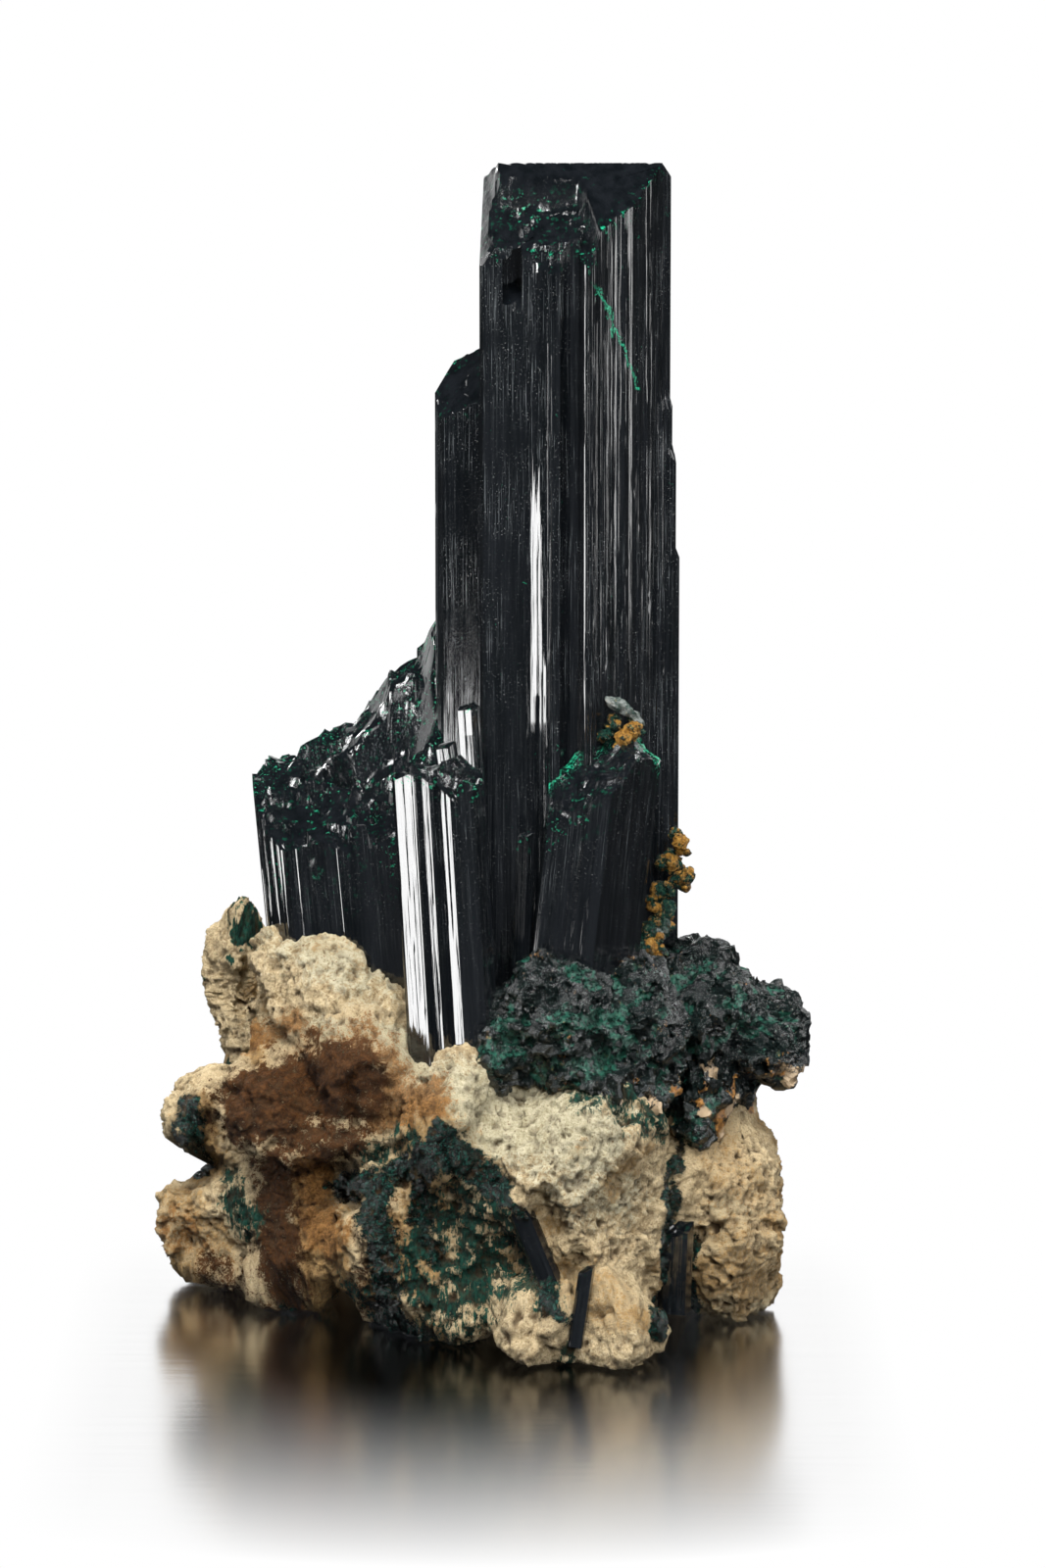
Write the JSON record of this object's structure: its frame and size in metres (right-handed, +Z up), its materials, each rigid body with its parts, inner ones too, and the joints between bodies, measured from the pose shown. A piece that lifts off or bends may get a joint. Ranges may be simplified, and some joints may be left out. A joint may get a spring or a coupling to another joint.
{
  "type": "atacamite",
  "caption": "Mineral specimen: tall chisel-ended black-green prism with shorter broken prisms on a green-crusted, iron-stained buff rock with a flat underside.",
  "frame": {"origin": "on the plane the specimen rests on, under the middle of its bounding box", "axes": "+Z up along the tall prism, +X to the right as seen from the front, +Y to the back"},
  "size_m": [0.0466, 0.0398, 0.078],
  "materials": {
    "atacamite_crystal": "polished",
    "atacamite_crust": "satin",
    "iron_stain": "matte",
    "host_rock": "matte"
  },
  "bodies": {
    "root": {"tall_crystal": "atacamite_crystal", "rear_crystal": "atacamite_crystal", "broken_crystal": "atacamite_crystal", "front_left_crystal": "atacamite_crystal", "front_right_crystal": "atacamite_crystal", "needle_tall": "atacamite_crystal", "needle_short": "atacamite_crystal", "small_blade": "atacamite_crystal", "pocket_crystal": "atacamite_crystal", "seam_blade": "atacamite_crystal", "crevice_crystal": "atacamite_crystal", "crust": "atacamite_crust", "stained_grains": "iron_stain", "perched_grain": "iron_stain", "matrix": "host_rock"}
  },
  "joints": []
}
